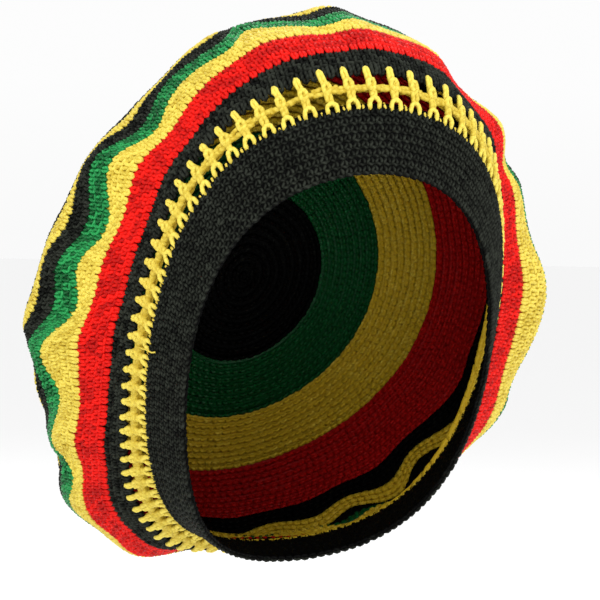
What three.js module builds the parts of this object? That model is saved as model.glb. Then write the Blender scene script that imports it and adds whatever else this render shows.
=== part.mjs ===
// A slouchy crocheted tam in the form that it takes on a head: a ribbed brim band, a round of
// openwork, and a wide crown of plain and rippled colour stripes that hangs back off the forehead.
// Millimetres, +Z up. The wearer faces -Y, and the origin is the centre of the head opening.
import * as THREE from "three";

// A table as a list of rows with named columns
function table(columns, ...rows) {
  return rows.map((row) => Object.fromEntries(columns.map((column, i) => [column, row[i]])));
}

// Driving sizes
const RIM_WIDTH = 160; // head opening from side to side
const RIM_LENGTH = 236; // head opening from forehead to nape
const CROWN_WIDTH = 264; // widest round from side to side
const CROWN_LENGTH = 331; // widest round from forehead to nape
const CROWN_SETBACK = 76; // centre of the widest round behind the centre of the opening
const CROWN_RISE = 30; // centre of the widest round above the centre of the opening
const CROWN_DEPTH = 58.6; // crown's back beyond the widest round
const CROWN_SAG = 8.5; // how far the crown's back hangs down
const RIM_LEAN = 60; // head opening from level, in degrees, with the forehead edge up
const CROWN_LEAN = 62.5; // widest round from level, in degrees
const SADDLE_DEPTH = 16; // forehead and nape of the widest round behind its sides
const CURL_DEPTH = 6; // how far a round's forehead curls forward and its nape back
const WALL = 3.4; // thickness of the crown
const BRIM_WALL = 4.4; // thickness of the brim band, which is worked tighter
const OPENWORK_WALL = 2.6; // thickness of the openwork's yarn
const SEAM_GAP = 0.3; // clearance between neighbouring stripes
const RIPPLE_SHIFT = 8; // how far a full ripple carries a stripe along the cloth
const RIPPLE_SWELL = 2; // how far a full ripple stands out of the cloth
const LOBE_HEIGHT = 10; // how far the loose crown's outline is drawn in at its waists
const LOBE_FADE = 10; // how fast the lobes fade on the crown's back, as a power of its radius
const BULGE_HEIGHT = 9; // tallest soft swelling of the crown

// Openwork motifs
const MOTIFS = 80; // posts round the openwork
const OPEN_LEGS = 40; // motifs over the forehead whose legs stand apart
const MOTIF_PHASE = 0.65; // place of the first post after the forehead, in pitches
const FOREHEAD_STRETCH = 0.11; // how much wider the pitch is over the forehead than on average
const SIDE_PACKING = 0.2; // how much closer the motifs lie at the sides

// Facets
const PLAIN_COLUMNS = 64;
const BACK_COLUMNS = 48;
const COLUMNS_PER_RIPPLE = 3;

const YARN_ROUGHNESS = 0.85;
const BLACK = 0x1b1c20;
const YELLOW = 0xf0d035;
const RED = 0xf01410;
const GREEN = 0x0b8a4c;

// Stripes from the rim to the centre of the crown's back.
// width: relative width along the cloth. ripple: share of the ripple at the stripe's far edge.
// strips: rows of facets. Those of the openwork have a table of their own.
const STRIPES = table(
  ["name", "color", "width", "ripple", "wall", "strips", "columns"],
  ["brim_band", BLACK, 30, 0, BRIM_WALL, 2, "plain"],
  ["openwork_round", YELLOW, 18, 0, OPENWORK_WALL, 0, "motifs"],
  ["black_round", BLACK, 11, 0, WALL, 1, "plain"],
  ["red_band", RED, 17, 0.08, WALL, 1, "ripples"],
  ["yellow_band", YELLOW, 14, 0.95, WALL, 1, "ripples"],
  ["green_ripple", GREEN, 15, 1, WALL, 1, "ripples"],
  ["black_ripple", BLACK, 13, 0.8, WALL, 1, "ripples"],
  ["yellow_shoulder", YELLOW, 12, 0.5, WALL, 1, "ripples"],
  ["black_shoulder", BLACK, 12, 0.2, WALL, 1, "ripples"],
  ["red_back", RED, 38, 0, WALL, 2, "ripples"],
  ["yellow_back", YELLOW, 36, 0, WALL, 1, "ripples"],
  ["green_back", GREEN, 36, 0, WALL, 1, "back"],
  ["crown_centre", BLACK, 44, 0, WALL, 2, "back"],
);

// Rounds at the rim and at the far edge of each stripe up to the widest round.
// back and rise: shares of the crown's setback and rise. lean, width and length: shares of the way
// from the rim's value to the crown's. saddle and curl: shares of their depths.
// egg: how much wider the forehead half is. square: how much fuller the forehead and nape are.
// ease: how loose the round is, 0 where the head holds it and 1 where it hangs free.
const FRONT_ROUNDS = table(
  ["back", "rise", "lean", "width", "length", "saddle", "curl", "egg", "square", "ease"],
  [0.0, 0.0, 0.0, 0.0, 0.0, 0.4, 1.1, 0.08, 0.02, 0.0],
  [0.23, 0.63, -0.7, 0.29, 0.37, 0.26, 1.0, 0.04, 0.05, 0.0],
  [0.4, 0.83, -0.2, 0.48, 0.64, 0.2, 0.9, -0.03, 0.09, 0.1],
  [0.49, 0.93, 0.1, 0.64, 0.74, 0.4, 0.9, -0.08, 0.09, 0.3],
  [0.65, 0.97, 0.3, 0.86, 0.87, 0.65, 0.6, -0.08, 0.06, 0.65],
  [0.78, 1.02, 0.4, 0.98, 0.9, 0.88, 0.5, -0.07, 0.03, 0.9],
  [0.92, 1.01, 0.7, 0.99, 0.96, 0.98, 0.45, -0.025, -0.025, 1.0],
  [1.04, 1.03, 1.0, 0.965, 0.985, 1.0, 0.45, 0.02, -0.06, 1.0],
);

// Rounds at the far edges of the stripes behind the widest round.
// radius: share of the widest round. depth: share of the crown's depth.
const BACK_ROUNDS = table(
  ["radius", "depth"],
  [0.97, 0.2],
  [0.925, 0.39],
  [0.755, 0.79],
  [0.545, 0.935],
  [0.325, 0.99],
  [0.0, 1.0],
);

// Ripples: the places where the stripes come nearest to the rim and farthest from it.
// angle: degrees round the crown from the forehead, wearer's left positive.
// reach: towards the rim, as a share of RIPPLE_SHIFT.
const RIPPLES = table(
  ["angle", "reach"],
  [-176, -0.4],
  [-166, 0.5],
  [-156, -0.6],
  [-147, 0.5],
  [-138, -0.8],
  [-126, 1],
  [-116, -2.2],
  [-104, -0.3],
  [-96, -2],
  [-86, 0.75],
  [-77.5, -0.1],
  [-70.5, 0.95],
  [-57, -1],
  [-50, 0.55],
  [-39, -1.1],
  [-28, 0.4],
  [-21, -1.8],
  [-14, -0.8],
  [-5, 0.9],
  [6, -0.6],
  [28, -1.0],
  [36, -0.2],
  [47, -1.4],
  [56, 0.3],
  [65, -1.6],
  [76, -1.8],
  [88, -1.8],
  [99, -1.6],
  [107, -0.4],
  [116, -0.2],
  [125, -0.9],
  [134, 0.5],
  [143, -0.6],
  [152, 0.6],
  [163, -0.6],
  [173, 0.6],
);

// Lobes and waists of the loose crown's outline.
// spread: their reach in degrees round the crown. height: outwards, as a share of LOBE_HEIGHT.
const LOBES = table(
  ["angle", "spread", "height"],
  [-158, 7, 0.4],
  [-147, 6, -0.35],
  [-138, 6, 0.14],
  [-123, 6, -0.71],
  [-116, 6, -0.19],
  [-109, 6, -0.68],
  [-103, 5, -0.32],
  [-97, 5, -0.34],
  [-91, 5, 0.21],
  [-84, 6, -0.25],
  [-68, 7, -0.33],
  [-57, 6, 0.41],
  [-50, 6, -0.39],
  [-43, 7, -0.08],
  [-33, 8, 0.2],
  [-22, 6, 0.32],
  [-7, 5, -0.34],
  [1, 6, 0.15],
  [10, 7, -0.14],
  [29, 5, -0.78],
  [36, 5, -0.61],
  [48, 5, 0.36],
  [54, 5, -0.67],
  [66, 5, -0.23],
  [72, 6, -0.33],
  [80, 6, 0.08],
  [90, 7, -0.2],
  [99, 7, -0.42],
  [110, 7, 0.11],
  [122, 10, -0.86],
  [148, 15, -0.8],
  [180, 20, -1],
);

// Soft swellings and dents of the crown.
// at: share of the way from the rim to the crown's centre. spread and span: their reach in degrees
// round the crown and as a share of that way. height: outwards, as a share of BULGE_HEIGHT.
const BULGES = table(
  ["angle", "at", "spread", "span", "height"],
  [85, 0.335, 15, 0.065, 0.7],
  [-153, 0.25, 12, 0.09, 0.6],
  [180, 0.21, 28, 0.1, -0.6],
  [150, 0.55, 26, 0.12, 0.5],
  [-60, 0.62, 30, 0.12, 0.4],
  [20, 0.72, 50, 0.14, -0.7],
);

// Rows of the openwork from the leg tips to the post tips.
// at: share of the stripe's width. tooth: half width of a leg, body or post, as a share of the pitch.
const OPENWORK_ROWS = table(
  ["at", "tooth"],
  [0.0, 0.34],
  [0.44, 0.24],
  [0.62, 0.22],
  [1.0, 0.18],
);

const radians = THREE.MathUtils.degToRad;
const mix = THREE.MathUtils.lerp;

// Share of the way from the rim to the crown's centre at the rim and at each stripe's far edge
const reaches = STRIPES.reduce((list, stripe) => [...list, list.at(-1) + stripe.width], [0]);
const edges = reaches.map((reach) => reach / reaches.at(-1));

function frontRound(row) {
  return {
    y: row.back * CROWN_SETBACK,
    z: row.rise * CROWN_RISE,
    lean: radians(mix(RIM_LEAN, CROWN_LEAN, row.lean)),
    halfWidth: mix(RIM_WIDTH, CROWN_WIDTH, row.width) / 2,
    halfLength: mix(RIM_LENGTH, CROWN_LENGTH, row.length) / 2,
    saddle: row.saddle * SADDLE_DEPTH,
    curl: row.curl * CURL_DEPTH,
    egg: row.egg,
    square: row.square,
    ease: row.ease,
  };
}

// The crown's back goes on from the widest round along that round's own axis.
function backRound(row) {
  const widest = frontRound(FRONT_ROUNDS.at(-1));
  const reach = row.depth * CROWN_DEPTH;
  return {
    y: widest.y + reach * Math.sin(widest.lean),
    z: widest.z + reach * Math.cos(widest.lean) - row.depth * CROWN_SAG,
    lean: widest.lean,
    halfWidth: row.radius * widest.halfWidth,
    halfLength: row.radius * widest.halfLength,
    saddle: row.radius ** 2 * widest.saddle,
    curl: row.radius ** 2 * widest.curl,
    egg: row.radius * widest.egg,
    square: row.radius * widest.square,
    ease: row.radius ** LOBE_FADE * widest.ease,
  };
}

const rounds = [...FRONT_ROUNDS.map(frontRound), ...BACK_ROUNDS.map(backRound)];
const ripples = [0, ...STRIPES.map((stripe) => stripe.ripple)];

// A smooth curve through one value at each edge
function through(values, u) {
  const last = edges.length - 1;
  let i = 0;
  while (i < last - 1 && u > edges[i + 1]) i += 1;
  const rate = (k) => (values[k + 1] - values[k]) / (edges[k + 1] - edges[k]);
  const slope = (k) => {
    if (k === 0) return rate(0);
    if (k === last) return rate(last - 1);
    const before = edges[k] - edges[k - 1];
    const after = edges[k + 1] - edges[k];
    return (rate(k - 1) * after + rate(k) * before) / (before + after);
  };
  const step = edges[i + 1] - edges[i];
  const t = THREE.MathUtils.clamp((u - edges[i]) / step, 0, 1);
  const start = values[i] * (1 + 2 * t) + slope(i) * step * t;
  const end = values[i + 1] * (3 - 2 * t) + slope(i + 1) * step * (t - 1);
  return start * (1 - t) ** 2 + end * t ** 2;
}

const roundKeys = Object.keys(rounds[0]);
const roundValues = Object.fromEntries(roundKeys.map((key) => [key, rounds.map((round) => round[key])]));

function roundAt(u) {
  return Object.fromEntries(roundKeys.map((key) => [key, through(roundValues[key], u)]));
}

// Degrees from one angle of a table to another angle, the short way round
function turnFrom(degrees, angle) {
  return THREE.MathUtils.euclideanModulo(THREE.MathUtils.radToDeg(angle) - degrees + 180, 360) - 180;
}

// How far the loose crown stands out or is drawn in at an angle, as a share of LOBE_HEIGHT
function lobe(angle) {
  let height = 0;
  for (const row of LOBES) {
    height += row.height * Math.exp(-((turnFrom(row.angle, angle) / row.spread) ** 2));
  }
  return height;
}

// The crown without its ripples, u from the rim to the centre and angle round it
function plainPoint(u, angle) {
  const round = roundAt(u);
  const fullness = 1 + round.egg * Math.cos(angle) + round.square * Math.cos(2 * angle);
  const loose = round.ease * lobe(angle) * LOBE_HEIGHT;
  const along = (round.halfLength + loose) * Math.cos(angle);
  const across = round.saddle * Math.cos(2 * angle) - round.curl * Math.cos(3 * angle);
  return new THREE.Vector3(
    (round.halfWidth * fullness + loose) * Math.sin(angle),
    round.y - Math.cos(round.lean) * along + Math.sin(round.lean) * across,
    round.z + Math.sin(round.lean) * along + Math.cos(round.lean) * across,
  );
}

// Outward direction of a surface given as a function of u and angle
const PROBE = 0.002;
function outward(surface, u, angle) {
  const v = Math.min(u, 1 - 4 * PROBE);
  const along = surface(v + PROBE, angle).sub(surface(Math.max(v - PROBE, 0), angle));
  const around = surface(v, angle + PROBE).sub(surface(v, angle - PROBE));
  return around.cross(along).normalize();
}

// Reach of the ripples at an angle
function wave(angle) {
  const first = RIPPLES[0].angle;
  const degrees = THREE.MathUtils.euclideanModulo(THREE.MathUtils.radToDeg(angle) - first, 360);
  const starts = RIPPLES.map((ripple) => ripple.angle - first);
  const k = starts.findLastIndex((start) => start <= degrees);
  const next = (k + 1) % RIPPLES.length;
  const end = next === 0 ? 360 : starts[next];
  const t = (degrees - starts[k]) / (end - starts[k]);
  return mix(RIPPLES[k].reach, RIPPLES[next].reach, 0.5 - 0.5 * Math.cos(Math.PI * t));
}

function bulge(u, angle) {
  let height = 0;
  for (const row of BULGES) {
    const turn = turnFrom(row.angle, angle);
    height += row.height * Math.exp(-((turn / row.spread) ** 2) - ((u - row.at) / row.span) ** 2);
  }
  return height;
}

// Length of the cloth from rim to centre, halfway round to the side
const PROFILE_STEPS = 60;
let clothLength = 0;
for (let i = 0; i < PROFILE_STEPS; i += 1) {
  const from = plainPoint(i / PROFILE_STEPS, Math.PI / 2);
  clothLength += from.distanceTo(plainPoint((i + 1) / PROFILE_STEPS, Math.PI / 2));
}

// The middle of the cloth, with its ripples and swellings
function clothPoint(u, angle) {
  const ripple = through(ripples, u) * wave(angle);
  const v = THREE.MathUtils.clamp(u - (ripple * RIPPLE_SHIFT) / clothLength, 0, 1);
  const lift = THREE.MathUtils.clamp(ripple, -1, 1) * RIPPLE_SWELL + bulge(v, angle) * BULGE_HEIGHT;
  return plainPoint(v, angle).addScaledVector(outward(plainPoint, v, angle), lift);
}

// The angles of a ring's columns
function columnAngles(kind) {
  const evenly = (count) => Array.from({ length: count }, (_, j) => (2 * Math.PI * j) / count);
  if (kind === "plain") return evenly(PLAIN_COLUMNS);
  if (kind === "back") return evenly(BACK_COLUMNS);
  return RIPPLES.flatMap((ripple, k) => {
    const end = k + 1 < RIPPLES.length ? RIPPLES[k + 1].angle : RIPPLES[0].angle + 360;
    const shares = Array.from({ length: COLUMNS_PER_RIPPLE }, (_, j) => j / COLUMNS_PER_RIPPLE);
    return shares.map((share) => radians(mix(ripple.angle, end, share)));
  });
}

// A pair of points on the outer and inner face of the cloth, square to the cloth at u or at a seam
function wallPair(u, angle, wall, seam = u) {
  const middle = clothPoint(u, angle);
  const normal = outward(clothPoint, seam, angle);
  return [
    middle.clone().addScaledVector(normal, wall / 2),
    middle.clone().addScaledVector(normal, -wall / 2),
  ];
}

// Half a seam gap as a step of u at an edge
function seamStep(u, angle) {
  const v = THREE.MathUtils.clamp(u, PROBE, 1 - PROBE);
  const speed = clothPoint(v + PROBE, angle).distanceTo(clothPoint(v - PROBE, angle)) / (2 * PROBE);
  return SEAM_GAP / 2 / speed;
}

// A wall made of cells: rows of shares across a stripe, columns of angles, and a test for each cell.
// The last row may be one point, the pole, where all columns meet.
function cellWall(stripe, rows, angleAt, columnCount, isSolid, pole) {
  const first = edges[stripe.index];
  const last = edges[stripe.index + 1];
  const pairs = rows.map((row, i) =>
    Array.from({ length: columnCount }, (_, j) => {
      const angle = angleAt(i, j);
      const start = first + (first > 0 ? seamStep(first, angle) : 0);
      const end = last - (last < 1 ? seamStep(last, angle) : 0);
      const turn = pole && i === rows.length - 1 ? 0 : angle;
      return wallPair(mix(start, end, row), turn, stripe.wall, mix(first, last, row));
    }),
  );
  const positions = [];
  const triangle = (a, b, c) => {
    const flat = a.equals(b) || b.equals(c) || c.equals(a);
    if (!flat) positions.push(...a.toArray(), ...b.toArray(), ...c.toArray());
  };
  const quad = (a, b, c, d) => {
    triangle(a, b, c);
    triangle(a, c, d);
  };
  const solidAt = (i, j) => {
    const inside = i >= 0 && i < rows.length - 1;
    return inside && isSolid(i, (j + columnCount) % columnCount);
  };
  for (let i = 0; i < rows.length - 1; i += 1) {
    for (let j = 0; j < columnCount; j += 1) {
      if (!solidAt(i, j)) continue;
      const k = (j + 1) % columnCount;
      const [a, A] = pairs[i][j];
      const [b, B] = pairs[i][k];
      const [c, C] = pairs[i + 1][k];
      const [d, D] = pairs[i + 1][j];
      quad(a, b, c, d);
      quad(A, D, C, B);
      if (!solidAt(i - 1, j)) quad(a, A, B, b);
      if (!solidAt(i + 1, j) && !(pole && i === rows.length - 2)) quad(d, c, C, D);
      if (!solidAt(i, j - 1)) quad(a, d, D, A);
      if (!solidAt(i, j + 1)) quad(b, B, C, c);
    }
  }
  const geometry = new THREE.BufferGeometry();
  geometry.setAttribute("position", new THREE.Float32BufferAttribute(positions, 3));
  geometry.computeVertexNormals();
  return geometry;
}

// The angle of something spaced evenly along the worked round, which the head stretches
function stretched(even) {
  return even + FOREHEAD_STRETCH * Math.sin(even) + (SIDE_PACKING / 2) * Math.sin(2 * even);
}

// A whole stripe
function band(stripe) {
  const angles = columnAngles(stripe.columns);
  const rows = Array.from({ length: stripe.strips + 1 }, (_, i) => i / stripe.strips);
  const pole = stripe.index === STRIPES.length - 1;
  return cellWall(stripe, rows, (i, j) => angles[j], angles.length, () => true, pole);
}

// The openwork: a bar all round, with a post up and a pair of legs down at each motif
function openwork(stripe) {
  const rows = OPENWORK_ROWS.map((row) => row.at);
  const angleAt = (i, j) => {
    const motif = Math.floor(j / 2) - MOTIFS / 2 + MOTIF_PHASE;
    const side = j % 2 === 0 ? -1 : 1;
    return stretched((2 * Math.PI * (motif + side * OPENWORK_ROWS[i].tooth)) / MOTIFS);
  };
  const isSolid = (i, j) => {
    const isTooth = j % 2 === 0;
    const isOpen = Math.abs(Math.floor(j / 2) + 0.5 - MOTIFS / 2) < OPEN_LEGS / 2;
    if (i === 0) return isTooth || !isOpen;
    if (i === rows.length - 2) return isTooth;
    return true;
  };
  return cellWall(stripe, rows, angleAt, 2 * MOTIFS, isSolid, false);
}

const tam = new THREE.Group();
STRIPES.forEach((row, index) => {
  const stripe = { ...row, index };
  const geometry = stripe.columns === "motifs" ? openwork(stripe) : band(stripe);
  const material = new THREE.MeshStandardMaterial({ color: stripe.color, roughness: YARN_ROUGHNESS });
  const mesh = new THREE.Mesh(geometry, material);
  mesh.name = stripe.name;
  tam.add(mesh);
});

export default tam;
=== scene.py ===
"""A slouchy crocheted tam as worn: every stitch and every strand of its openwork is modelled yarn.

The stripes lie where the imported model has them: the cloth below is the same surface, with the same
sizes and tables. Metres, +Z up, and the wearer faces -Y.
"""
import math
from collections import namedtuple

import bpy
import numpy as np
from mathutils import Matrix, Vector


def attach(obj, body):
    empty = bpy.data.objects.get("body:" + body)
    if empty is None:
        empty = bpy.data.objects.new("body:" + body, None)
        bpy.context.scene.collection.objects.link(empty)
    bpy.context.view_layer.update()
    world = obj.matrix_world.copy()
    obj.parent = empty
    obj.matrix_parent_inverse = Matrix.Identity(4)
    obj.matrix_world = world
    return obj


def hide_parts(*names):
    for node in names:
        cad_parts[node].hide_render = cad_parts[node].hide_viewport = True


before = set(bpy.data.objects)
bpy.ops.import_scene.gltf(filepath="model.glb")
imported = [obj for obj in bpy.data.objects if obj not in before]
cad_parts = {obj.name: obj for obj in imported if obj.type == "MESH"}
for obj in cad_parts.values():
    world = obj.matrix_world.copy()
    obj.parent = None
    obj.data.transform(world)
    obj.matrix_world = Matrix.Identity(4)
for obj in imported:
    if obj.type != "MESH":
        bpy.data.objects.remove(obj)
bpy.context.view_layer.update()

MM = 0.001
BODY = "root"

# Driving sizes of the cloth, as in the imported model
RIM_WIDTH = 160 * MM
RIM_LENGTH = 236 * MM
CROWN_WIDTH = 264 * MM
CROWN_LENGTH = 331 * MM
CROWN_SETBACK = 76 * MM
CROWN_RISE = 30 * MM
CROWN_DEPTH = 58.6 * MM
CROWN_SAG = 8.5 * MM
RIM_LEAN = math.radians(60)
CROWN_LEAN = math.radians(62.5)
SADDLE_DEPTH = 16 * MM
CURL_DEPTH = 6 * MM
RIPPLE_SHIFT = 8 * MM
RIPPLE_SWELL = 2 * MM
LOBE_HEIGHT = 10 * MM
LOBE_FADE = 10
BULGE_HEIGHT = 9 * MM

# Openwork motifs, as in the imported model
MOTIFS = 80
MOTIF_PHASE = 0.65
FOREHEAD_STRETCH = 0.11
SIDE_PACKING = 0.2

# Yarn and stitches
YARN_RADIUS = 1.08 * MM
BRIM_YARN_RADIUS = 1.0 * MM
OPENWORK_YARN_RADIUS = 1.0 * MM
STITCH_PITCH = 4.25 * MM
BRIM_ROW_SHARE = 0.76  # share of a brim row's height that its stitches fill, which leaves a groove
LOOSENESS = 0.035  # how far a stitch's strands slip, in stitches
UNEVENNESS = 0.04  # how much their thickness varies
OPENWORK_LOOSENESS = 0.02
OPENWORK_WOBBLE = 0.008  # further slip from point to point of a strand
OPENWORK_UNEVENNESS = 0.09
MATTING_OUT = 0.95 * MM  # outer face of the matted fibres that fill the cloth, from its middle
MATTING_IN = 0.5 * MM
MATTING_SHIFT = 0.45  # rows by which a stripe's matting runs on under its neighbour towards the centre
SEED = 7

# Sides and steps of the modelled yarn
OPENWORK_SIDES = 7
FRONT_SIDES = 5
MIDDLE_SIDES = 4
BACK_SIDES = 3
BACK_FULLNESS = 1.12  # wider yarn at the back, where three sides cover less than a round strand
FRONT_LOOP_STEPS = 7
LOOP_STEPS = 5
LEG_STEPS = 3
BAR_STEPS = 2
EDGE_STEPS = 10
RIM_STEPS = 4

# Tones of the strands, from 0 in a yarn's shade to 1 in its light colour. Beside a random drift,
# they hold painted shade in hollows and on flanks, and a painted highlight on the edge loops
TONE_RANGE = (0.15, 0.85)
TONE_SPREAD = 0.1
# Tone of the matting: near the shade colour, painted shade in the gaps between stitches
MATTING_SHADE_TONE = 0.05
# Painted highlight: the lighter tone of a stripe's first-row loops, which stand out; the loose end shares it
EDGE_HIGHLIGHT_TONE = 0.6
BRIM_TONE = 0.52
HEIGHT_SHADE = 0.3  # painted shade and highlight: how much lighter a strand is painted for each yarn radius that it stands out
PLAIN_HEIGHT = 0.8  # yarn radii out at which a stitch has its own tone, without painted shade or highlight
OPENWORK_HEIGHT = 1.2
FLANK_SHADE = 0.22  # painted shade: how much lighter a strand's outer side is painted than its flanks

# Stripes from the rim to the centre of the crown's back.
# width: relative width along the cloth. ripple: share of the ripple at the far edge.
# rows: rounds of stitches. sides: sides of the modelled yarn. bars: whether the inside shows its bars.
Stripe = namedtuple("Stripe", "name slot width ripple rows sides bars")
STRIPES = [
    Stripe("brim_band", "black_yarn", 30, 0.0, 8, MIDDLE_SIDES, False),
    Stripe("openwork_round", "yellow_yarn", 18, 0.0, 0, OPENWORK_SIDES, False),
    Stripe("black_round", "black_yarn", 11, 0.0, 3, FRONT_SIDES, False),
    Stripe("red_band", "red_yarn", 17, 0.08, 4, FRONT_SIDES, False),
    Stripe("yellow_band", "yellow_yarn", 14, 0.95, 4, FRONT_SIDES, False),
    Stripe("green_ripple", "green_yarn", 15, 1.0, 3, MIDDLE_SIDES, False),
    Stripe("black_ripple", "black_yarn", 13, 0.8, 3, MIDDLE_SIDES, False),
    Stripe("yellow_shoulder", "yellow_yarn", 12, 0.5, 3, MIDDLE_SIDES, True),
    Stripe("black_shoulder", "black_yarn", 12, 0.2, 3, BACK_SIDES, True),
    Stripe("red_back", "red_yarn", 38, 0.0, 9, BACK_SIDES, True),
    Stripe("yellow_back", "yellow_yarn", 36, 0.0, 9, BACK_SIDES, True),
    Stripe("green_back", "green_yarn", 36, 0.0, 9, BACK_SIDES, True),
    Stripe("crown_centre", "black_yarn", 44, 0.0, 10, BACK_SIDES, True),
]

# Rounds at the rim and at the far edge of each stripe up to the widest round.
# back and rise: shares of the crown's setback and rise. lean, width and length: shares of the way from
# the rim's value to the crown's. saddle and curl: shares of their depths. egg and square: shares of the
# width. ease: share of the lobes.
FrontRound = namedtuple("FrontRound", "back rise lean width length saddle curl egg square ease")
FRONT_ROUNDS = [
    FrontRound(0.0, 0.0, 0.0, 0.0, 0.0, 0.4, 1.1, 0.08, 0.02, 0.0),
    FrontRound(0.23, 0.63, -0.7, 0.29, 0.37, 0.26, 1.0, 0.04, 0.05, 0.0),
    FrontRound(0.4, 0.83, -0.2, 0.48, 0.64, 0.2, 0.9, -0.03, 0.09, 0.1),
    FrontRound(0.49, 0.93, 0.1, 0.64, 0.74, 0.4, 0.9, -0.08, 0.09, 0.3),
    FrontRound(0.65, 0.97, 0.3, 0.86, 0.87, 0.65, 0.6, -0.08, 0.06, 0.65),
    FrontRound(0.78, 1.02, 0.4, 0.98, 0.9, 0.88, 0.5, -0.07, 0.03, 0.9),
    FrontRound(0.92, 1.01, 0.7, 0.99, 0.96, 0.98, 0.45, -0.025, -0.025, 1.0),
    FrontRound(1.04, 1.03, 1.0, 0.965, 0.985, 1.0, 0.45, 0.02, -0.06, 1.0),
]

# Rounds behind the widest one: share of its radius and of the crown's depth
BackRound = namedtuple("BackRound", "radius depth")
BACK_ROUNDS = [
    BackRound(0.97, 0.2),
    BackRound(0.925, 0.39),
    BackRound(0.755, 0.79),
    BackRound(0.545, 0.935),
    BackRound(0.325, 0.99),
    BackRound(0.0, 1.0),
]

# Places where the stripes come nearest to the rim and farthest from it: degrees from the forehead, and
# reach towards the rim
Ripple = namedtuple("Ripple", "angle reach")
RIPPLES = [
    Ripple(-176, -0.4),
    Ripple(-166, 0.5),
    Ripple(-156, -0.6),
    Ripple(-147, 0.5),
    Ripple(-138, -0.8),
    Ripple(-126, 1.0),
    Ripple(-116, -2.2),
    Ripple(-104, -0.3),
    Ripple(-96, -2.0),
    Ripple(-86, 0.75),
    Ripple(-77.5, -0.1),
    Ripple(-70.5, 0.95),
    Ripple(-57, -1.0),
    Ripple(-50, 0.55),
    Ripple(-39, -1.1),
    Ripple(-28, 0.4),
    Ripple(-21, -1.8),
    Ripple(-14, -0.8),
    Ripple(-5, 0.9),
    Ripple(6, -0.6),
    Ripple(28, -1.0),
    Ripple(36, -0.2),
    Ripple(47, -1.4),
    Ripple(56, 0.3),
    Ripple(65, -1.6),
    Ripple(76, -1.8),
    Ripple(88, -1.8),
    Ripple(99, -1.6),
    Ripple(107, -0.4),
    Ripple(116, -0.2),
    Ripple(125, -0.9),
    Ripple(134, 0.5),
    Ripple(143, -0.6),
    Ripple(152, 0.6),
    Ripple(163, -0.6),
    Ripple(173, 0.6),
]

# Lobes and waists of the loose crown's outline: degrees from the forehead, spread in degrees, and share
# of the lobes' height
Lobe = namedtuple("Lobe", "angle spread height")
LOBES = [
    Lobe(-158, 7, 0.4),
    Lobe(-147, 6, -0.35),
    Lobe(-138, 6, 0.14),
    Lobe(-123, 6, -0.71),
    Lobe(-116, 6, -0.19),
    Lobe(-109, 6, -0.68),
    Lobe(-103, 5, -0.32),
    Lobe(-97, 5, -0.34),
    Lobe(-91, 5, 0.21),
    Lobe(-84, 6, -0.25),
    Lobe(-68, 7, -0.33),
    Lobe(-57, 6, 0.41),
    Lobe(-50, 6, -0.39),
    Lobe(-43, 7, -0.08),
    Lobe(-33, 8, 0.2),
    Lobe(-22, 6, 0.32),
    Lobe(-7, 5, -0.34),
    Lobe(1, 6, 0.15),
    Lobe(10, 7, -0.14),
    Lobe(29, 5, -0.78),
    Lobe(36, 5, -0.61),
    Lobe(48, 5, 0.36),
    Lobe(54, 5, -0.67),
    Lobe(66, 5, -0.23),
    Lobe(72, 6, -0.33),
    Lobe(80, 6, 0.08),
    Lobe(90, 7, -0.2),
    Lobe(99, 7, -0.42),
    Lobe(110, 7, 0.11),
    Lobe(122, 10, -0.86),
    Lobe(148, 15, -0.8),
    Lobe(180, 20, -1),
]

# Soft swellings and dents: degrees from the forehead, share of the way to the centre, spread in degrees,
# span as a share of the way, and share of the swellings' height
Bulge = namedtuple("Bulge", "angle at spread span height")
BULGES = [
    Bulge(85, 0.335, 15, 0.065, 0.7),
    Bulge(-153, 0.25, 12, 0.09, 0.6),
    Bulge(180, 0.21, 28, 0.1, -0.6),
    Bulge(150, 0.55, 26, 0.12, 0.5),
    Bulge(-60, 0.62, 30, 0.12, 0.4),
    Bulge(20, 0.72, 50, 0.14, -0.7),
]

# Strands of one stitch. Each point is across (in stitches), along (in rows, + towards the crown's
# centre) and out (in yarn radii from the middle of the cloth).
LEFT_LEG_AND_LOOP = [
    (-0.08, 0.66, -0.7),
    (-0.12, 0.42, 0.35),
    (-0.22, 0.1, 1.0),
    (-0.31, -0.2, 1.05),
    (-0.33, -0.42, 0.85),
    (-0.1, -0.58, 1.0),
    (0.25, -0.6, 0.95),
    (0.52, -0.48, 0.2),
]
RIGHT_LEG = [
    (0.1, 0.66, -0.7),
    (0.14, 0.4, 0.35),
    (0.24, 0.1, 1.0),
    (0.33, -0.2, 0.95),
    (0.34, -0.45, 0.3),
]
INNER_BAR = [
    (-0.55, 0.06, -0.7),
    (-0.2, 0.02, -1.25),
    (0.2, -0.04, -1.25),
    (0.55, 0.0, -0.7),
]

# The same for the first row of a stripe: a small closed loop over the row before, and a long one beside
# the openwork
EDGE_LEGS_AND_LOOP = [
    (-0.08, 0.66, -0.7),
    (-0.17, 0.3, 0.6),
    (-0.22, 0.0, 1.0),
    (-0.21, -0.35, 1.1),
    (-0.1, -0.55, 0.8),
    (0.1, -0.55, 0.8),
    (0.21, -0.35, 1.1),
    (0.22, 0.0, 1.0),
    (0.17, 0.3, 0.6),
    (0.1, 0.66, -0.7),
]
LONG_EDGE_LOOP = [
    (-0.08, 0.66, -0.7),
    (-0.2, 0.3, 0.6),
    (-0.3, -0.2, 1.0),
    (-0.3, -0.8, 0.9),
    (-0.12, -1.15, 0.2),
    (0.12, -1.15, 0.2),
    (0.3, -0.8, 0.9),
    (0.3, -0.2, 1.0),
    (0.2, 0.3, 0.6),
    (0.1, 0.66, -0.7),
]

# A strand that binds the brim's free edge
RIM_LOOP = [
    (-0.5, -0.4, -0.2),
    (-0.1, -0.6, -0.7),
    (0.25, -0.6, -0.75),
    (0.52, -0.45, -0.2),
]
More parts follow.
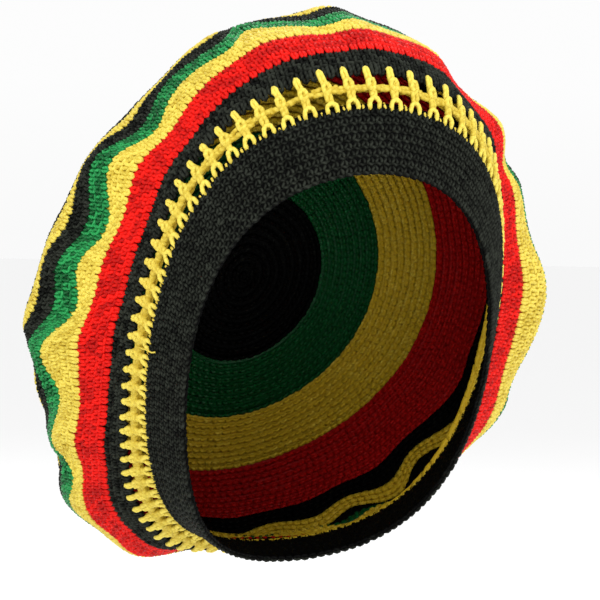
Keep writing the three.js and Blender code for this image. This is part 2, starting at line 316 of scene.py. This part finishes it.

# Strands of one openwork motif: across in motifs, along in shares of the stripe from the leg tips
# to the post tips, out in yarn radii. thickness: yarn radii at the forehead. packed: yarn radii that the
# packed motifs at the nape add. steps: of its path. tone: painted shade and highlight, darker for the
# bars and darkest for the one behind, lighter for the arch and tick.
Strand = namedtuple("Strand", "name steps thickness packed tone points")
MOTIF = [
    Strand("post", 16, 1.0, 0.1, 0.5, [
        (0.0, 0.44, 0.3), (-0.05, 0.6, 1.2), (-0.11, 0.78, 1.8), (-0.15, 0.9, 2.4), (-0.12, 0.98, 2.2),
        (-0.04, 0.99, 2.2), (0.0, 0.9, 2.4), (0.04, 0.78, 1.8), (0.1, 0.62, 1.3), (0.1, 0.44, 0.3)]),
    Strand("knot", 10, 1.25, 0.4, 0.45, [
        (-0.08, 0.44, 0.9), (0.1, 0.47, 1.5), (0.2, 0.58, 1.3), (0.12, 0.7, 1.7), (-0.06, 0.68, 2.0),
        (-0.1, 0.54, 1.7), (0.02, 0.46, 1.9)]),
    Strand("upper_bar", 12, 1.2, 0.7, 0.35, [
        (-0.56, 0.54, 0.5), (-0.3, 0.535, 0.9), (0.0, 0.54, 0.4), (0.3, 0.53, 0.9), (0.56, 0.54, 0.5)]),
    Strand("lower_bar", 12, 1.2, 0.7, 0.35, [
        (-0.56, 0.48, 0.2), (-0.3, 0.47, 0.8), (0.0, 0.475, 0.7), (0.3, 0.48, 0.8), (0.56, 0.48, 0.2)]),
    Strand("back_bar", 4, 1.0, 1.0, 0.2, [
        (-0.56, 0.5, -0.9), (-0.2, 0.53, -1.0), (0.2, 0.48, -1.0), (0.56, 0.51, -0.9)]),
    Strand("left_stem", 6, 1.2, 0.3, 0.4, [
        (0.0, 0.56, 1.0), (-0.02, 0.42, 1.2), (0.0, 0.3, 1.2), (0.04, 0.2, 0.8)]),
    Strand("right_stem", 6, 1.2, 0.3, 0.4, [
        (0.08, 0.56, 0.8), (0.14, 0.42, 1.1), (0.16, 0.3, 1.2), (0.16, 0.2, 0.8)]),
    Strand("arch", 14, 1.2, 0.1, 0.75, [
        (-0.12, -0.07, -0.3), (-0.12, 0.02, 0.8), (-0.1, 0.12, 1.1), (-0.01, 0.19, 1.2), (0.1, 0.21, 1.2),
        (0.22, 0.19, 1.2), (0.31, 0.12, 1.1), (0.33, 0.02, 0.8), (0.32, -0.07, -0.3)]),
    Strand("tick", 3, 0.75, 0.3, 0.6, [
        (-0.4, 0.09, -0.6), (-0.39, 0.01, 0.9), (-0.37, -0.07, -0.4)]),
]

# The loose end of the openwork's yarn, which lies on the brim at the wearer's right: shares of the
# openwork's width from the brim, degrees from the forehead, and distance out from the middle of the cloth
EndPoint = namedtuple("EndPoint", "along degrees out")
LOOSE_END = [
    EndPoint(0.42, -91.9, 1.2 * MM),
    EndPoint(0.2, -91.4, 2.4 * MM),
    EndPoint(-0.06, -90.6, 2.6 * MM),
    EndPoint(-0.25, -90.2, 2.7 * MM),
    EndPoint(-0.4, -89.4, 2.3 * MM),
]
LOOSE_END_RADIUS = 0.4 * MM
LOOSE_END_STEPS = 12


# The cloth

edges = np.cumsum([0] + [stripe.width for stripe in STRIPES]) / sum(stripe.width for stripe in STRIPES)
FINE_STEPS = 3000
FINE = np.linspace(0, 1, FINE_STEPS + 1)


def through(values, u=FINE):
    """A smooth curve through one value at each edge, at u from 0 at the rim to 1 at the centre."""
    values = np.asarray(values, float)
    steps = np.diff(edges)
    rate = np.diff(values) / steps
    inner = (rate[:-1] * steps[1:] + rate[1:] * steps[:-1]) / (steps[:-1] + steps[1:])
    slope = np.concatenate([rate[:1], inner, rate[-1:]])
    i = np.clip(np.searchsorted(edges, u) - 1, 0, len(steps) - 1)
    t = np.clip((u - edges[i]) / steps[i], 0, 1)
    start = values[i] * (1 + 2 * t) + slope[i] * steps[i] * t
    end = values[i + 1] * (3 - 2 * t) + slope[i + 1] * steps[i] * (t - 1)
    return start * (1 - t) ** 2 + end * t ** 2


def front_round(row):
    """A round in front of the widest one, in metres and radians."""
    return {
        "y": row.back * CROWN_SETBACK,
        "z": row.rise * CROWN_RISE,
        "lean": RIM_LEAN + row.lean * (CROWN_LEAN - RIM_LEAN),
        "half_width": (RIM_WIDTH + row.width * (CROWN_WIDTH - RIM_WIDTH)) / 2,
        "half_length": (RIM_LENGTH + row.length * (CROWN_LENGTH - RIM_LENGTH)) / 2,
        "saddle": row.saddle * SADDLE_DEPTH,
        "curl": row.curl * CURL_DEPTH,
        "egg": row.egg,
        "square": row.square,
        "ease": row.ease,
    }


def back_round(row):
    """A round of the dome behind the widest one."""
    widest = front_round(FRONT_ROUNDS[-1])
    reach = row.depth * CROWN_DEPTH
    return {
        "y": widest["y"] + reach * math.sin(widest["lean"]),
        "z": widest["z"] + reach * math.cos(widest["lean"]) - row.depth * CROWN_SAG,
        "lean": widest["lean"],
        "half_width": row.radius * widest["half_width"],
        "half_length": row.radius * widest["half_length"],
        "saddle": row.radius ** 2 * widest["saddle"],
        "curl": row.radius ** 2 * widest["curl"],
        "egg": row.radius * widest["egg"],
        "square": row.radius * widest["square"],
        "ease": row.radius ** LOBE_FADE * widest["ease"],
    }


rounds = [front_round(row) for row in FRONT_ROUNDS] + [back_round(row) for row in BACK_ROUNDS]
profiles = {key: through([each[key] for each in rounds]) for key in rounds[0]}
ripple_profile = through([0.0] + [stripe.ripple for stripe in STRIPES])


def lobe(angle):
    """How far the loose crown stands out or is drawn in at an angle."""
    height = 0
    for row in LOBES:
        turn = (np.degrees(angle) - row.angle + 180) % 360 - 180
        height = height + row.height * np.exp(-(turn / row.spread) ** 2)
    return height


def plain_point(u, angle):
    """The crown without its ripples."""
    at = {key: np.interp(u, FINE, profile) for key, profile in profiles.items()}
    fullness = 1 + at["egg"] * np.cos(angle) + at["square"] * np.cos(2 * angle)
    loose = at["ease"] * lobe(angle) * LOBE_HEIGHT
    along = (at["half_length"] + loose) * np.cos(angle)
    across = at["saddle"] * np.cos(2 * angle) - at["curl"] * np.cos(3 * angle)
    return np.stack([
        (at["half_width"] * fullness + loose) * np.sin(angle),
        at["y"] - np.cos(at["lean"]) * along + np.sin(at["lean"]) * across,
        at["z"] + np.sin(at["lean"]) * along + np.cos(at["lean"]) * across,
    ], axis=-1)


SHORTEST = 1e-12


def unit(vectors):
    return vectors / np.maximum(np.linalg.norm(vectors, axis=-1, keepdims=True), SHORTEST)


PROBE = 0.002
POLE_SHARE = 1 - 4 * PROBE  # nearer the centre the rounds are too small to give a direction


def plain_outward(u, angle):
    """Outward direction of the crown without its ripples."""
    v = np.minimum(u, POLE_SHARE)
    along = plain_point(v + PROBE, angle) - plain_point(np.maximum(v - PROBE, 0), angle)
    around = plain_point(v, angle + PROBE) - plain_point(v, angle - PROBE)
    return unit(np.cross(around, along))


def wave(angle):
    """Reach of the ripples at an angle."""
    first = RIPPLES[0].angle
    degrees = (np.degrees(angle) - first) % 360
    starts = np.array([ripple.angle - first for ripple in RIPPLES] + [360.0])
    reaches = np.array([ripple.reach for ripple in RIPPLES] + [RIPPLES[0].reach])
    k = np.searchsorted(starts, degrees, side="right") - 1
    t = (degrees - starts[k]) / (starts[k + 1] - starts[k])
    return reaches[k] + (reaches[k + 1] - reaches[k]) * (0.5 - 0.5 * np.cos(np.pi * t))


def bulge(u, angle):
    """Share of the swellings' height at a place of the cloth."""
    height = 0
    for row in BULGES:
        turn = (np.degrees(angle) - row.angle + 180) % 360 - 180
        height = height + row.height * np.exp(-(turn / row.spread) ** 2 - ((u - row.at) / row.span) ** 2)
    return height


PROFILE_STEPS = 60
side_profile = plain_point(np.linspace(0, 1, PROFILE_STEPS + 1), np.full(PROFILE_STEPS + 1, np.pi / 2))
cloth_length = np.linalg.norm(np.diff(side_profile, axis=0), axis=1).sum()


def cloth_point(u, angle):
    """The middle of the cloth, with its ripples and swellings."""
    ripple = np.interp(u, FINE, ripple_profile) * wave(angle)
    v = np.clip(u - ripple * RIPPLE_SHIFT / cloth_length, 0, 1)
    lift = np.clip(ripple, -1, 1) * RIPPLE_SWELL + bulge(v, angle) * BULGE_HEIGHT
    return plain_point(v, angle) + plain_outward(v, angle) * lift[..., None]


# The cloth's points and outward directions on a fine grid, which every strand is laid on
GRID_ROWS = 560
GRID_COLUMNS = 1440
grid_u, grid_angle = np.meshgrid(
    np.linspace(0, 1, GRID_ROWS + 1),
    np.linspace(-np.pi, np.pi, GRID_COLUMNS + 1),
    indexing="ij",
)
grid_points = cloth_point(grid_u, grid_angle)
grid_around = np.empty_like(grid_points)
grid_around[:, 1:-1] = grid_points[:, 2:] - grid_points[:, :-2]
grid_around[:, 0] = grid_points[:, 1] - grid_points[:, -2]
grid_around[:, -1] = grid_around[:, 0]
grid_outward = unit(np.cross(grid_around, np.gradient(grid_points, axis=0)))
POLE_ROWS = 4
grid_outward[-POLE_ROWS:] = unit(grid_outward[-POLE_ROWS - 1].mean(axis=0))


def on_cloth(u, angle):
    """Points and outward directions of the cloth. u may run a little past the rim."""
    row = np.asarray(u) * GRID_ROWS
    column = (np.asarray(angle) / (2 * np.pi) + 0.5) % 1 * GRID_COLUMNS
    i = np.clip(np.floor(row).astype(int), 0, GRID_ROWS - 1)
    j = np.clip(np.floor(column).astype(int), 0, GRID_COLUMNS - 1)
    s = (row - i)[..., None]
    t = (column - j)[..., None]

    def blend(grid):
        low = grid[i, j] * (1 - t) + grid[i, j + 1] * t
        high = grid[i + 1, j] * (1 - t) + grid[i + 1, j + 1] * t
        return low * (1 - s) + high * s

    return blend(grid_points), unit(blend(grid_outward))


# Meshes of yarn

def smooth_path(points, steps):
    """A strand's points as a smooth curve of the given steps."""
    points = np.asarray(points, float)
    padded = np.vstack([2 * points[0] - points[1], points, 2 * points[-1] - points[-2]])
    place = np.linspace(0, len(points) - 1, steps + 1)
    i = np.clip(np.floor(place).astype(int), 0, len(points) - 2)
    t = (place - i)[:, None]
    a, b, c, d = padded[i], padded[i + 1], padded[i + 2], padded[i + 3]
    bend = 2 * a - 5 * b + 4 * c - d
    twist = 3 * b - a - 3 * c + d
    return 0.5 * (2 * b + (c - a) * t + bend * t ** 2 + twist * t ** 3)


class YarnMesh:
    """Gathers tubes and sheets of one piece, with a map along and round the yarn and a tone.
    The tone holds painted shade and highlight besides each strand's random drift.
    """

    def __init__(self, sides):
        self.sides = sides
        self.points = []
        self.faces = []
        self.maps = []
        self.tones = []
        self.count = 0

    def add(self, points, faces, maps, tones):
        """faces is (n, 3 or 4) of indices into points, maps is (n, 3 or 4, 2)."""
        self.points.append(points)
        self.faces.append(faces + self.count)
        self.maps.append(maps)
        self.tones.append(tones)
        self.count += len(points)

    def tubes(self, centres, outward, radii, tones):
        """Closed tubes along centres (tube, point, 3) with radii and tones (tube, point).
        Each tube's outer side is painted lighter than its flanks, a painted shade.
        """
        sides = self.sides
        tubes, rings = centres.shape[:2]
        forward = unit(np.gradient(centres, axis=1))
        across = unit(np.cross(forward, outward))
        up = np.cross(across, forward)
        turn = np.pi / 2 + 2 * np.pi * np.arange(sides) / sides
        around = across[:, :, None] * np.cos(turn)[:, None] + up[:, :, None] * np.sin(turn)[:, None]
        points = centres[:, :, None] + around * radii[:, :, None, None]
        index = np.arange(tubes * rings * sides).reshape(tubes, rings, sides)
        nxt = np.roll(index, -1, axis=2)
        walls = np.stack([index[:, :-1], nxt[:, :-1], nxt[:, 1:], index[:, 1:]], axis=-1)
        reach = np.linalg.norm(np.diff(centres, axis=1), axis=-1)
        length = np.concatenate([np.zeros((tubes, 1)), np.cumsum(reach, axis=1)], axis=1) / MM
        low = np.broadcast_to(length[:, :-1, None], walls.shape[:-1])
        high = np.broadcast_to(length[:, 1:, None], walls.shape[:-1])
        left = np.broadcast_to(np.arange(sides) / sides, walls.shape[:-1])
        right = left + 1 / sides
        maps = np.stack([
            np.stack([low, left], -1), np.stack([low, right], -1),
            np.stack([high, right], -1), np.stack([high, left], -1)], axis=-2)
        # The outer side is painted lighter than the flanks: painted shade
        tones_with_flank_shade = tones[:, :, None] + FLANK_SHADE * np.sin(turn)
        self.add(points.reshape(-1, 3), walls.reshape(-1, 4), maps.reshape(-1, 4, 2), tones_with_flank_shade.ravel())
        self.caps(index)

    def caps(self, index):
        """Closes both ends of each tube with a fan of triangles."""
        faces = []
        for k in range(1, self.sides - 1):
            faces.append(np.stack([index[:, 0, 0], index[:, 0, k + 1], index[:, 0, k]], axis=-1))
            faces.append(np.stack([index[:, -1, 0], index[:, -1, k], index[:, -1, k + 1]], axis=-1))
        faces = np.concatenate(faces) + self.count - index.size
        self.faces.append(faces)
        self.maps.append(np.zeros(faces.shape + (2,)))

    def matting(self, first, last, rows, columns):
        """The matted fibres between the stitches: a closed sheet from edge first to edge last.
        The sheet stands for the fibres deep between the stitches, and its dark tone is painted shade.
        """
        u, angle = np.meshgrid(
            np.linspace(first, last, rows + 1),
            np.linspace(-np.pi, np.pi, columns, endpoint=False),
            indexing="ij",
        )
        middle, outward = on_cloth(u, angle)
        outer = (middle + outward * MATTING_OUT).reshape(-1, 3)
        inner = (middle - outward * MATTING_IN).reshape(-1, 3)
        index = np.arange((rows + 1) * columns).reshape(rows + 1, columns)
        nxt = np.roll(index, -1, axis=1)
        top = np.stack([index[:-1], nxt[:-1], nxt[1:], index[1:]], axis=-1).reshape(-1, 4)
        bottom = top[:, ::-1] + index.size
        near = np.stack([index[0] + index.size, nxt[0] + index.size, nxt[0], index[0]], axis=-1)
        far = np.stack([index[-1], nxt[-1], nxt[-1] + index.size, index[-1] + index.size], axis=-1)
        faces = np.concatenate([top, bottom, near, far])
        self.add(
            np.concatenate([outer, inner]), faces, np.zeros(faces.shape + (2,)),
            np.full(2 * index.size, MATTING_SHADE_TONE))

    def build(self, name):
        """The gathered faces as one smooth Blender object."""
        points = np.concatenate(self.points)
        quads = np.concatenate([each for each in self.faces if each.shape[1] == 4])
        threes = np.concatenate([each for each in self.faces if each.shape[1] == 3])
        quad_maps = np.concatenate([each for each in self.maps if each.shape[1] == 4])
        three_maps = np.concatenate([each for each in self.maps if each.shape[1] == 3])
        mesh = bpy.data.meshes.new(name)
        mesh.vertices.add(len(points))
        mesh.vertices.foreach_set("co", points.ravel())
        corners = np.concatenate([quads.ravel(), threes.ravel()])
        mesh.loops.add(len(corners))
        mesh.loops.foreach_set("vertex_index", corners)
        starts = np.concatenate([np.arange(len(quads)) * 4, quads.size + np.arange(len(threes)) * 3])
        mesh.polygons.add(len(starts))
        mesh.polygons.foreach_set("loop_start", starts)
        mesh.polygons.foreach_set("use_smooth", np.ones(len(starts), bool))
        mesh.update(calc_edges=True)
        layer = mesh.uv_layers.new(name=YARN_MAP)
        layer.uv.foreach_set("vector", np.concatenate([quad_maps.ravel(), three_maps.ravel()]))
        tone = mesh.attributes.new(TONE, "FLOAT", "POINT")
        tone.data.foreach_set("value", np.concatenate(self.tones))
        mesh.validate()
        piece = bpy.data.objects.new(name, mesh)
        bpy.context.scene.collection.objects.link(piece)
        return piece


YARN_MAP = "yarn"
# The tone attribute holds each strand's random drift together with painted shade and highlight
TONE = "tone"
draws = np.random.default_rng(SEED)


# Stitches

ROUND_ANGLES = np.linspace(-np.pi, np.pi, GRID_COLUMNS + 1)
FEWEST_STITCHES = 6


def lengths_round(u):
    """Length along a round of the cloth at each of the round's angles."""
    points, _ = on_cloth(np.full_like(ROUND_ANGLES, u), ROUND_ANGLES)
    return np.concatenate([[0], np.cumsum(np.linalg.norm(np.diff(points, axis=0), axis=1))])


def even_angles(lengths, count, phase):
    """Angles that divide a round of the cloth into equal lengths, and the width of each in angle."""
    share = (np.arange(count) + phase) / count
    angles = np.interp(share * lengths[-1], lengths, ROUND_ANGLES)
    ahead = np.interp(np.minimum(share + 0.5 / count, 1) * lengths[-1], lengths, ROUND_ANGLES)
    behind = np.interp(np.maximum(share - 0.5 / count, 0) * lengths[-1], lengths, ROUND_ANGLES)
    widths = ahead - behind
    return angles, np.where(widths > 0, widths, widths.mean())


def lay_strand(mesh, points, steps, u, angles, height, widths, radius, tone=None):
    """One strand of every stitch in a round, of about the given tone or of random ones."""
    path = smooth_path(points, steps)
    count = len(angles)
    slip = draws.normal(0, LOOSENESS, (count, 1, 3))
    across = path[None, :, 0] + slip[:, :, 0]
    along = path[None, :, 1] + slip[:, :, 1]
    out = path[None, :, 2] + 2 * slip[:, :, 2]
    middle, outward = on_cloth(u + along * height, angles[:, None] + across * widths[:, None])
    swell = 1 + draws.normal(0, UNEVENNESS, (count, len(path)))
    centres = middle + outward * (out * radius)[..., None]
    if tone is None:
        tones = draws.uniform(*TONE_RANGE, count)
    else:
        tones = draws.normal(tone, TONE_SPREAD, count)
    # Strands are painted darker where they sink into the cloth and lighter where they stand out: painted
    # shade and highlight
    mesh.tubes(centres, outward, radius * swell, tones[:, None] + HEIGHT_SHADE * (out - PLAIN_HEIGHT))


def stitched(stripe, first, last, covered):
    """A stripe of single crochet from edge first to edge last. covered: the stripe before it is cloth too."""
    mesh = YarnMesh(stripe.sides)
    is_brim = first == 0
    radius = BRIM_YARN_RADIUS if is_brim else YARN_RADIUS
    if stripe.sides == BACK_SIDES:
        radius *= BACK_FULLNESS
    row_height = (last - first) / stripe.rows
    height = row_height * (BRIM_ROW_SHARE if is_brim else 1)
    loop_steps = FRONT_LOOP_STEPS if stripe.sides == FRONT_SIDES else LOOP_STEPS
    tone = BRIM_TONE if is_brim else None
    most = 0
    for row in range(stripe.rows):
        u = first + (row + 0.5) * row_height
        lengths = lengths_round(u)
        count = max(FEWEST_STITCHES, round(lengths[-1] / STITCH_PITCH))
        most = max(most, count)
        angles, widths = even_angles(lengths, count, draws.uniform(0, 1))
        if row == 0 and not is_brim:
            loop = EDGE_LEGS_AND_LOOP if covered else LONG_EDGE_LOOP
            # The first row's loops get a lighter tone: a painted highlight
            lay_strand(mesh, loop, EDGE_STEPS, u, angles, height, widths, radius, EDGE_HIGHLIGHT_TONE)
        else:
            lay_strand(mesh, LEFT_LEG_AND_LOOP, loop_steps, u, angles, height, widths, radius, tone)
            lay_strand(mesh, RIGHT_LEG, LEG_STEPS, u, angles, height, widths, radius, tone)
        if stripe.bars:
            lay_strand(mesh, INNER_BAR, BAR_STEPS, u, angles, height, widths, radius)
        if row == 0 and is_brim:
            lay_strand(mesh, RIM_LOOP, RIM_STEPS, u, angles, height, widths, radius)
    start = first + (MATTING_SHIFT * row_height if covered else 0)
    end = min(last + MATTING_SHIFT * row_height, 1)
    mesh.matting(start, end, stripe.rows, most // 2)
    return mesh


# Openwork

def stretched(even):
    """The angle of something spaced evenly along the worked round, which the head stretches."""
    return even + FOREHEAD_STRETCH * np.sin(even) + SIDE_PACKING / 2 * np.sin(2 * even)


def openwork(stripe, first, last):
    """The bar, posts and split legs of every motif from edge first to edge last, and the loose end."""
    mesh = YarnMesh(stripe.sides)
    places = np.arange(MOTIFS) - MOTIFS / 2 + MOTIF_PHASE
    for strand in MOTIF:
        path = smooth_path(strand.points, strand.steps)
        slip = draws.normal(0, OPENWORK_LOOSENESS, (MOTIFS, 1, 3))
        slip = slip + draws.normal(0, OPENWORK_WOBBLE, (MOTIFS, len(path), 3))
        across = places[:, None] + path[None, :, 0] + slip[:, :, 0]
        along = path[None, :, 1] + slip[:, :, 1]
        out = path[None, :, 2] + 2 * slip[:, :, 2]
        angle = stretched(2 * np.pi * across / MOTIFS)
        middle, outward = on_cloth(first + along * (last - first), angle)
        nape_share = (1 - np.cos(angle)) / 2
        radius = OPENWORK_YARN_RADIUS * (strand.thickness + strand.packed * nape_share)
        swell = 1 + draws.normal(0, OPENWORK_UNEVENNESS, (MOTIFS, len(path)))
        centres = middle + outward * (out * OPENWORK_YARN_RADIUS * strand.thickness)[..., None]
        tones = draws.normal(strand.tone, TONE_SPREAD, swell.shape)
        # Each strand's listed tone and its height paint shade and highlight: deep parts darker, proud parts
        # lighter
        mesh.tubes(centres, outward, radius * swell, tones + HEIGHT_SHADE * (out - OPENWORK_HEIGHT))
    path = smooth_path(LOOSE_END, LOOSE_END_STEPS)
    middle, outward = on_cloth(first + path[:, 0] * (last - first), np.radians(path[:, 1]))
    centres = middle + outward * path[:, 2:]
    radii = np.full((1, len(path)), LOOSE_END_RADIUS)
    mesh.tubes(centres[None], outward[None], radii, np.full_like(radii, EDGE_HIGHLIGHT_TONE))
    return mesh


# Materials

# shade and light: colours at tones 0 and 1. contrast: power that the tone is raised to. gloss: specular
# level.
Yarn = namedtuple("Yarn", "slot shade light contrast roughness sheen gloss")
YARNS = [
    Yarn("black_yarn", (0.0008, 0.0008, 0.0008), (0.03, 0.034, 0.026), 2.2, 0.55, 0.0, 0.05),
    Yarn("yellow_yarn", (0.5, 0.33, 0.012), (0.87, 0.71, 0.11), 1.0, 0.5, 0.12, 0.2),
    Yarn("red_yarn", (0.32, 0.001, 0.001), (0.88, 0.009, 0.004), 1.3, 0.5, 0.03, 0.15),
    Yarn("green_yarn", (0.0, 0.05, 0.01), (0.022, 0.36, 0.09), 2.0, 0.4, 0.04, 0.2),
]
PLY_LENGTH = 2.4  # millimetres of yarn for one turn of a ply
PLIES = 2
PLY_DEPTH = 0.12 * MM
PLY_RELIEF = 0.6  # height of the plies beside the fuzz
PLY_GROOVE_SHADE = 0.15  # painted shade: how much darker the grooves between plies are painted, besides their bump
FUZZ_SCALE = 2600
FUZZ_DETAIL = 2
RELIEF_STRENGTH = 0.7
SHEEN_ROUGHNESS = 0.4


def yarn_material(yarn):
    """Twisted, slightly glossy yarn whose tone drifts from strand to strand and carries painted shade
    and highlight, with the grooves between its plies painted darker.
    """
    material = bpy.data.materials.new(yarn.slot + "_finish")
    material.use_nodes = True
    nodes = material.node_tree.nodes
    links = material.node_tree.links
    shader = nodes["Principled BSDF"]
    shader.inputs["Roughness"].default_value = yarn.roughness
    shader.inputs["Sheen Weight"].default_value = yarn.sheen
    shader.inputs["Sheen Roughness"].default_value = SHEEN_ROUGHNESS
    shader.inputs["Sheen Tint"].default_value = (*yarn.light, 1)
    shader.inputs["Specular IOR Level"].default_value = yarn.gloss

    place = nodes.new("ShaderNodeUVMap")
    place.uv_map = YARN_MAP
    split = nodes.new("ShaderNodeSeparateXYZ")
    links.new(place.outputs["UV"], split.inputs["Vector"])
    along = nodes.new("ShaderNodeMath")
    along.operation = "MULTIPLY"
    along.inputs[1].default_value = 2 * math.pi / PLY_LENGTH
    links.new(split.outputs["X"], along.inputs[0])
    twist = nodes.new("ShaderNodeMath")
    twist.operation = "MULTIPLY_ADD"
    twist.inputs[1].default_value = 2 * math.pi * PLIES
    links.new(split.outputs["Y"], twist.inputs[0])
    links.new(along.outputs[0], twist.inputs[2])
    plies = nodes.new("ShaderNodeMath")
    plies.operation = "SINE"
    links.new(twist.outputs[0], plies.inputs[0])

    spot = nodes.new("ShaderNodeTexCoord")
    fuzz = nodes.new("ShaderNodeTexNoise")
    fuzz.inputs["Scale"].default_value = FUZZ_SCALE
    fuzz.inputs["Detail"].default_value = FUZZ_DETAIL
    links.new(spot.outputs["Object"], fuzz.inputs["Vector"])

    relief = nodes.new("ShaderNodeMath")
    relief.operation = "MULTIPLY_ADD"
    relief.inputs[1].default_value = PLY_RELIEF
    links.new(plies.outputs[0], relief.inputs[0])
    links.new(fuzz.outputs["Fac"], relief.inputs[2])
    bump = nodes.new("ShaderNodeBump")
    bump.inputs["Strength"].default_value = RELIEF_STRENGTH
    bump.inputs["Distance"].default_value = PLY_DEPTH
    links.new(relief.outputs[0], bump.inputs["Height"])
    links.new(bump.outputs["Normal"], shader.inputs["Normal"])

    tone = nodes.new("ShaderNodeAttribute")
    tone.attribute_name = TONE
    # The tone, with the grooves between plies painted darker: painted shade
    groove = nodes.new("ShaderNodeMath")
    groove.operation = "MULTIPLY_ADD"
    groove.use_clamp = True
    groove.inputs[1].default_value = PLY_GROOVE_SHADE
    links.new(plies.outputs[0], groove.inputs[0])
    links.new(tone.outputs["Fac"], groove.inputs[2])
    deepen = nodes.new("ShaderNodeMath")
    deepen.operation = "POWER"
    deepen.inputs[1].default_value = yarn.contrast
    links.new(groove.outputs[0], deepen.inputs[0])
    colour = nodes.new("ShaderNodeMix")
    colour.data_type = "RGBA"
    colour.inputs["A"].default_value = (*yarn.shade, 1)
    colour.inputs["B"].default_value = (*yarn.light, 1)
    links.new(deepen.outputs[0], colour.inputs["Factor"])
    links.new(colour.outputs["Result"], shader.inputs["Base Color"])
    return material


def dress(materials):
    """Builds every stripe's yarn over its node."""
    for index, stripe in enumerate(STRIPES):
        first, last = edges[index], edges[index + 1]
        if stripe.rows:
            covered = index > 0 and STRIPES[index - 1].rows > 0
            mesh = stitched(stripe, first, last, covered)
        else:
            mesh = openwork(stripe, first, last)
        piece = mesh.build(stripe.name + "_yarn")
        piece.data.materials.append(materials[stripe.slot])
        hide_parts(stripe.name)
        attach(piece, BODY)


# Studio

Lamp = namedtuple("Lamp", "name place size power")
LAMPS = [
    Lamp("key_light", (-0.7, -1.5, 1.3), 1.0, 16),
    Lamp("fill_light", (1.3, -1.2, 0.5), 1.2, 5),
    Lamp("back_light", (0.3, 1.3, 1.4), 1.2, 8),
]
LAMP_TARGET = Vector((0, 0.05, 0.02))
SKY_STRENGTH = 0.98
HORIZON_SHADE = 0.97  # brightness of the backdrop where it meets the floor, as a share of that above
HORIZON_HEIGHT = 0.05  # height over which the backdrop brightens, as the sine of the elevation


def lights():
    """Three soft lamps and the backdrop."""
    for lamp in LAMPS:
        data = bpy.data.lights.new(lamp.name, "AREA")
        data.size = lamp.size
        data.energy = lamp.power
        light = bpy.data.objects.new(lamp.name, data)
        light.location = lamp.place
        light.rotation_euler = (LAMP_TARGET - Vector(lamp.place)).to_track_quat("-Z", "Y").to_euler()
        bpy.context.scene.collection.objects.link(light)
    world = bpy.data.worlds.new("studio")
    world.use_nodes = True
    backdrop(world.node_tree)
    bpy.context.scene.world = world


def backdrop(tree):
    """A white sweep that turns to the floor's pale grey at the horizon."""
    sky = tree.nodes["Background"]
    sky.inputs["Strength"].default_value = SKY_STRENGTH
    heading = tree.nodes.new("ShaderNodeTexCoord")
    split = tree.nodes.new("ShaderNodeSeparateXYZ")
    tree.links.new(heading.outputs["Generated"], split.inputs["Vector"])
    fade = tree.nodes.new("ShaderNodeMapRange")
    fade.inputs["From Min"].default_value = 0
    fade.inputs["From Max"].default_value = HORIZON_HEIGHT
    fade.inputs["To Min"].default_value = HORIZON_SHADE
    fade.inputs["To Max"].default_value = 1
    tree.links.new(split.outputs["Z"], fade.inputs["Value"])
    tree.links.new(fade.outputs["Result"], sky.inputs["Color"])


# Floor: about as far below the brim as a wearer's shoulders
FLOOR_HEIGHT = -0.22
FLOOR_REACH = 30
FLOOR_COLOUR = (0.93, 0.93, 0.93)


def floor():
    """A plain pale floor, which isn't part of the tam."""
    corners = [(-FLOOR_REACH, -FLOOR_REACH), (FLOOR_REACH, -FLOOR_REACH),
               (FLOOR_REACH, FLOOR_REACH), (-FLOOR_REACH, FLOOR_REACH)]
    mesh = bpy.data.meshes.new("floor")
    mesh.from_pydata([(x, y, FLOOR_HEIGHT) for x, y in corners], [], [range(4)])
    material = bpy.data.materials.new("floor_finish")
    material.use_nodes = True
    shader = material.node_tree.nodes["Principled BSDF"]
    shader.inputs["Base Color"].default_value = (*FLOOR_COLOUR, 1)
    shader.inputs["Roughness"].default_value = 1.0
    shader.inputs["Specular IOR Level"].default_value = 0.0
    mesh.materials.append(material)
    plane = bpy.data.objects.new("floor", mesh)
    bpy.context.scene.collection.objects.link(plane)


# Camera: at the wearer's right front, about level
CAMERA_TURN = math.radians(21)
CAMERA_DIP = math.radians(1.2)
CAMERA_ROLL = math.radians(1.0)
CAMERA_DISTANCE = 1.5
PIXELS_PER_METRE = 2020  # at the head opening
PICTURE = 600
ORIGIN_PIXEL = (332.3, 380.8)  # where the photograph has the centre of the head opening
SENSOR = 36


def camera():
    """A camera that shows the tam as the photograph frames it."""
    forward = Vector((
        math.sin(CAMERA_TURN) * math.cos(CAMERA_DIP),
        math.cos(CAMERA_TURN) * math.cos(CAMERA_DIP),
        -math.sin(CAMERA_DIP)))
    level = Vector((math.cos(CAMERA_TURN), -math.sin(CAMERA_TURN), 0))
    upright = level.cross(forward)
    right = math.cos(CAMERA_ROLL) * level + math.sin(CAMERA_ROLL) * upright
    up = right.cross(forward)
    centre = PICTURE / 2
    aside = (centre - ORIGIN_PIXEL[0]) / PIXELS_PER_METRE
    above = (ORIGIN_PIXEL[1] - centre) / PIXELS_PER_METRE
    data = bpy.data.cameras.new("camera")
    data.sensor_width = SENSOR
    data.lens = PIXELS_PER_METRE * CAMERA_DISTANCE * SENSOR / PICTURE
    view = bpy.data.objects.new("camera", data)
    turn = Matrix((right, up, -forward)).transposed()
    view.matrix_world = Matrix.LocRotScale(
        right * aside + up * above - forward * CAMERA_DISTANCE, turn.to_quaternion(), (1, 1, 1))
    bpy.context.scene.collection.objects.link(view)
    bpy.context.scene.camera = view


bpy.context.scene.view_settings.view_transform = "Standard"
camera()
lights()
floor()
dress({yarn.slot: yarn_material(yarn) for yarn in YARNS})
